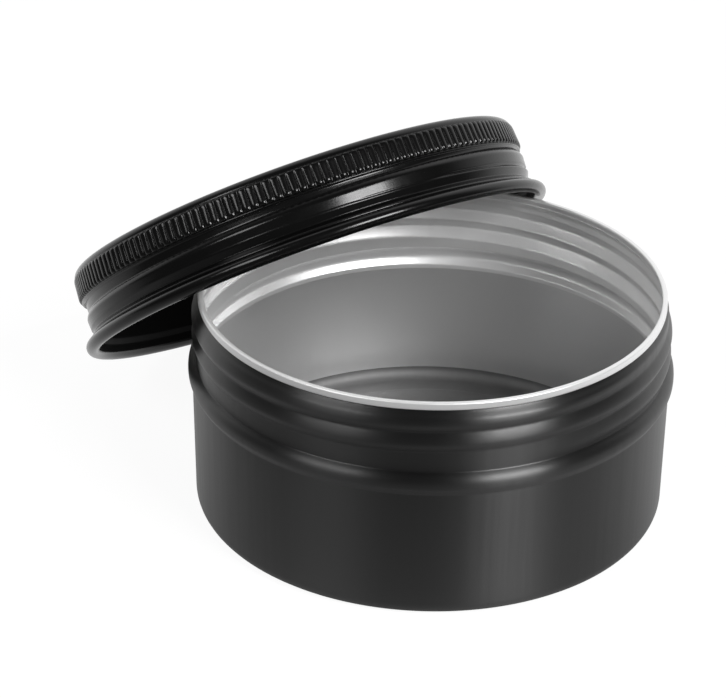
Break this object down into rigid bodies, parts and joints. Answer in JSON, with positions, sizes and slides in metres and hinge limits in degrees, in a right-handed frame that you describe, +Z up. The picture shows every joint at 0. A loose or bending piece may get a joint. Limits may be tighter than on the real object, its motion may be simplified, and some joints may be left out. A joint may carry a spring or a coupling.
{
  "type": "candle tin",
  "caption": "Round screw-top metal tin for a poured candle, with a knurled lid that lifts off and a foam liner, shown open with the lid leaning over the rim.",
  "frame": {"origin": "centre of the tin's foot, on the surface it stands on", "axes": "+Z up along the tin's axis; the lid leans over the tin's back left, which is -X +Y"},
  "size_m": [0.1075, 0.1139, 0.0655],
  "materials": {
    "tin_body": "satin black coating outside, bare bright aluminium inside and on the rolled rim",
    "lid_shell": "satin black coating inside and outside",
    "lid_liner": "closed-cell foam"
  },
  "bodies": {
    "tin": {"tin_body": "tin_body"},
    "liner": {"lid_liner": "lid_liner"},
    "lid": {"lid_shell": "lid_shell"}
  },
  "joints": [
    {"name": "lid_lift", "type": "slide", "parent": "tin", "child": "liner", "axis": [0, 0, 1], "range_m": [0, 0.06]},
    {"name": "lid_turn", "type": "hinge", "parent": "liner", "child": "lid", "pos_m": [-0.0212, 0.029, 0.02856], "axis": [-0.3596, 0.5212, 0.774], "continuous": true}
  ]
}
